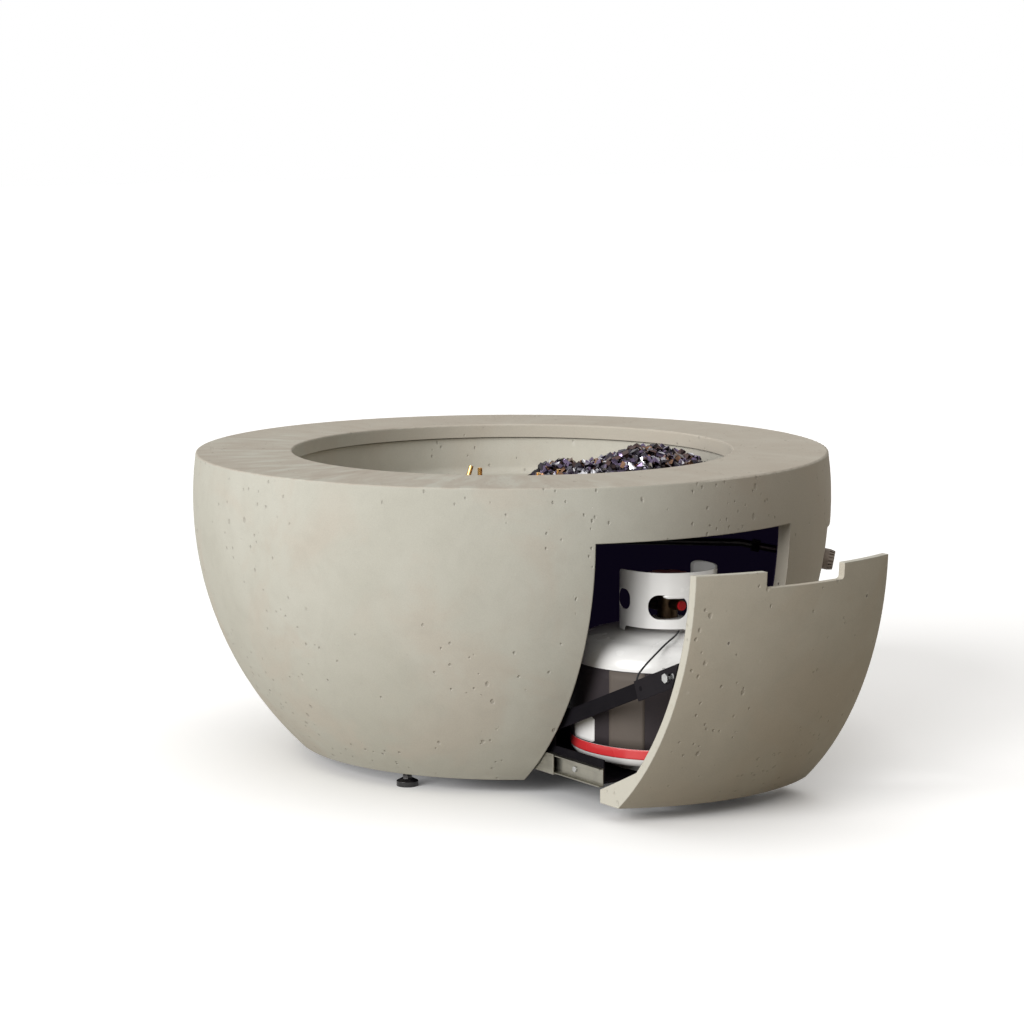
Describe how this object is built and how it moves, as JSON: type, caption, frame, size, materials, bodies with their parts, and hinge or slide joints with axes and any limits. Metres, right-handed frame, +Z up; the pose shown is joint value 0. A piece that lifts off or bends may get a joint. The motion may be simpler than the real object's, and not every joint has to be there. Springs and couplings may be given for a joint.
{
  "type": "propane fire bowl",
  "caption": "Hemispherical concrete fire bowl with a brass cross burner, fire glass, a side gas control and a sliding curved drawer that holds a propane cylinder.",
  "frame": {"origin": "on the bowl's vertical axis, at floor level under the levelling feet", "axes": "+Z up; the drawer opens towards -Y; +X to the right when facing the drawer"},
  "size_m": [1.0619, 1.2946, 0.5075],
  "materials": {
    "concrete": "matte",
    "black_gasket": "matte",
    "zinc_steel": "satin",
    "slide_steel": "satin",
    "black_steel": "satin",
    "brass": "satin",
    "supply_metal": "satin",
    "fire_glass": "gloss",
    "white_paint": "gloss",
    "red_plastic": "satin",
    "knob_bronze": "satin",
    "foot_plastic": "satin",
    "stud_steel": "satin",
    "cord_black": "matte"
  },
  "bodies": {
    "bowl": {"bowl_shell": "concrete", "fire_basin": "concrete", "basin_gasket": "black_gasket", "basin_bolts": "zinc_steel", "burner_hub": "brass", "burner_locknut": "brass", "burner_arms": "brass", "burner_caps": "brass", "burner_jets": "brass", "fire_glass": "fire_glass", "control_valve": "brass", "valve_nut": "brass", "supply_tube": "supply_metal", "tube_nuts": "brass", "foot_inserts": "brass", "base_rail_left": "black_steel", "base_rail_right": "black_steel", "rail_bolts": "zinc_steel", "rear_crossbar": "black_steel", "slide_outer_left": "slide_steel", "slide_outer_right": "slide_steel", "rail_screws": "zinc_steel"},
    "drawer": {"drawer_front": "concrete", "drawer_tray": "black_steel", "tray_bolts": "zinc_steel", "tank_locator": "black_steel", "slide_inner_left": "slide_steel", "slide_inner_right": "slide_steel", "tray_screws": "zinc_steel", "brace_bar_left": "black_steel", "brace_bar_right": "black_steel", "brace_plate_left": "black_steel", "brace_plate_right": "black_steel", "brace_bracket_left": "black_steel", "brace_bracket_right": "black_steel", "brace_bolts": "zinc_steel", "brace_rivets": "zinc_steel", "bracket_screws": "zinc_steel", "tank_body": "white_paint", "foot_ring": "white_paint", "tank_collar": "white_paint", "tank_valve": "brass", "relief_cap": "red_plastic", "tether_cord": "cord_black"},
    "slide_middle_left": {"slide_middle_left": "slide_steel"},
    "slide_middle_right": {"slide_middle_right": "slide_steel"},
    "handwheel": {"tank_handwheel": "red_plastic"},
    "stem": {"valve_stem": "brass"},
    "knob": {"control_knob": "knob_bronze"},
    "foot_front_left": {"foot_pad_front_left": "foot_plastic", "foot_stud_front_left": "stud_steel"},
    "foot_front_right": {"foot_pad_front_right": "foot_plastic", "foot_stud_front_right": "stud_steel"},
    "foot_rear_left": {"foot_pad_rear_left": "foot_plastic", "foot_stud_rear_left": "stud_steel"},
    "foot_rear_right": {"foot_pad_rear_right": "foot_plastic", "foot_stud_rear_right": "stud_steel"}
  },
  "joints": [
    {"name": "drawer_slide", "type": "slide", "parent": "bowl", "child": "drawer", "axis": [0, -1, 0], "range_m": [-0.2348, 0.155]},
    {"name": "slide_middle_left_run", "type": "slide", "parent": "bowl", "child": "slide_middle_left", "axis": [0, -1, 0], "range_m": [-0.1174, 0.0775]},
    {"name": "slide_middle_right_run", "type": "slide", "parent": "bowl", "child": "slide_middle_right", "axis": [0, -1, 0], "range_m": [-0.1174, 0.0775]},
    {"name": "tank_valve_turn", "type": "hinge", "parent": "drawer", "child": "handwheel", "pos_m": [0, -0.427, 0.35], "axis": [0, 0, 1], "range_deg": [0, 540]},
    {"name": "control_push", "type": "slide", "parent": "bowl", "child": "stem", "axis": [-0.7373, 0.6523, 0.1755], "range_m": [0, 0.0025], "stiffness_N_per_m": 1500, "springref_m": -0.004},
    {"name": "control_turn", "type": "hinge", "parent": "stem", "child": "knob", "pos_m": [0.3856, -0.34114, 0.32982], "axis": [0.7373, -0.6523, -0.1755], "range_deg": [0, 180]},
    {"name": "foot_front_left_level", "type": "hinge", "parent": "bowl", "child": "foot_front_left", "pos_m": [-0.30415, -0.14507, 0], "axis": [0, 0, 1], "continuous": true},
    {"name": "foot_front_right_level", "type": "hinge", "parent": "bowl", "child": "foot_front_right", "pos_m": [0.30415, -0.14507, 0], "axis": [0, 0, 1], "continuous": true},
    {"name": "foot_rear_left_level", "type": "hinge", "parent": "bowl", "child": "foot_rear_left", "pos_m": [-0.26912, 0.20279, 0], "axis": [0, 0, 1], "continuous": true},
    {"name": "foot_rear_right_level", "type": "hinge", "parent": "bowl", "child": "foot_rear_right", "pos_m": [0.26912, 0.20279, 0], "axis": [0, 0, 1], "continuous": true}
  ],
  "couplings": [
    {"joint": "slide_middle_left_run", "follows": "drawer_slide", "ratio": 0.5},
    {"joint": "slide_middle_right_run", "follows": "drawer_slide", "ratio": 0.5}
  ]
}
